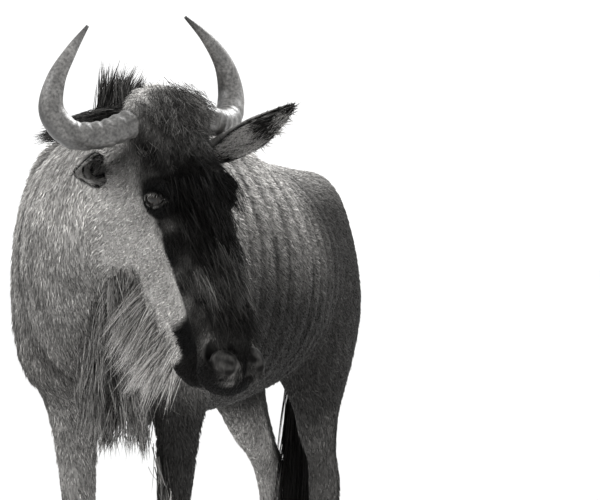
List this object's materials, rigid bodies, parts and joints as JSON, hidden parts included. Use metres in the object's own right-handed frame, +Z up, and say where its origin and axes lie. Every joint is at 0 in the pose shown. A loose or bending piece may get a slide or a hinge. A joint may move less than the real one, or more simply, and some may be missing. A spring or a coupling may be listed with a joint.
{
  "type": "wildebeest",
  "caption": "Life-size standing brindled wildebeest with its head hung and turned to its left, with swept horns, mane, beard and tasselled tail.",
  "frame": {"origin": "centre of the bounding box's footprint, on the floor that the hooves stand on", "axes": "+Z up; the body faces -Y; the animal's left side is towards +X"},
  "size_m": [0.639, 1.7832, 1.4501],
  "materials": {
    "hide": "short dull slate-grey coat with darker stripes, black on the face and tail",
    "horn": "satin grey horn, darker towards the tips",
    "eye": "wet gloss, very dark brown",
    "hoof": "dull dark horn"
  },
  "bodies": {
    "root": {"head": "hide", "neck": "hide", "torso": "hide", "tail": "hide", "foreleg_left": "hide", "foreleg_right": "hide", "hindleg_left": "hide", "hindleg_right": "hide", "ear_left": "hide", "ear_right": "hide", "horn_left": "horn", "horn_right": "horn", "eye_left": "eye", "eye_right": "eye", "forehoof_left": "hoof", "forehoof_right": "hoof", "hindhoof_left": "hoof", "hindhoof_right": "hoof"}
  },
  "joints": []
}
